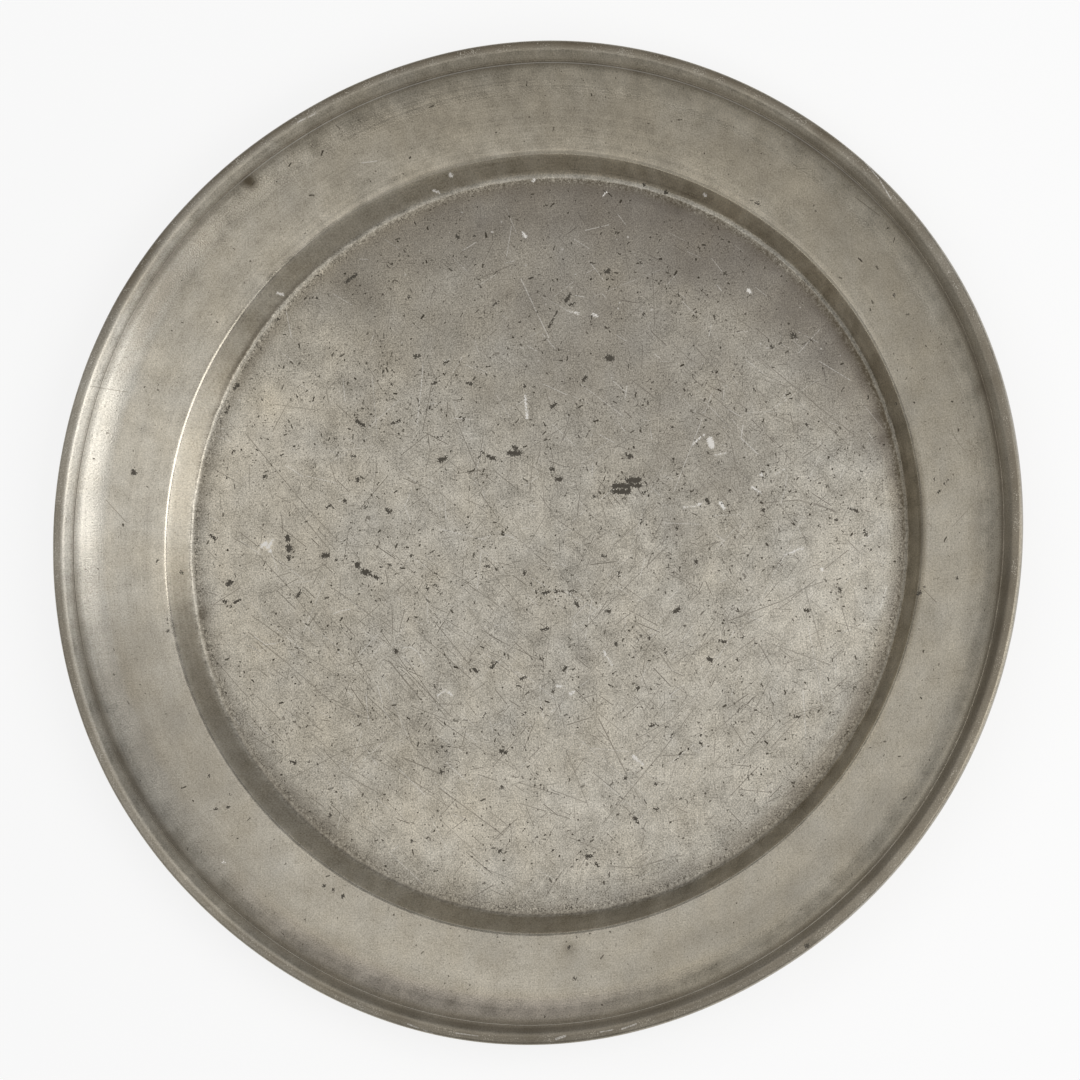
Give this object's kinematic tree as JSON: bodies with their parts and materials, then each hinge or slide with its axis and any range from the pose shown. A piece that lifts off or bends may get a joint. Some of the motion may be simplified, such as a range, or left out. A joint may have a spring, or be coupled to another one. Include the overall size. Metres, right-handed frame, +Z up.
{
  "type": "dish",
  "caption": "Round broad-rimmed serving dish of pewter with a flat well, a short steep side and a rim that sweeps up to a rounded reed along its edge.",
  "frame": {"origin": "middle of the flat underside of the well, on the surface that the dish lies on", "axes": "+Z up along the axis of revolution, out of the well; X and Y are any two directions across the dish"},
  "size_m": [0.457, 0.457, 0.0313],
  "materials": {
    "pewter": "satin grey pewter, lathe-turned on the rim, worn and scratched in the well, with small dark oxide flakes"
  },
  "bodies": {
    "root": {"dish": "pewter"}
  },
  "joints": []
}
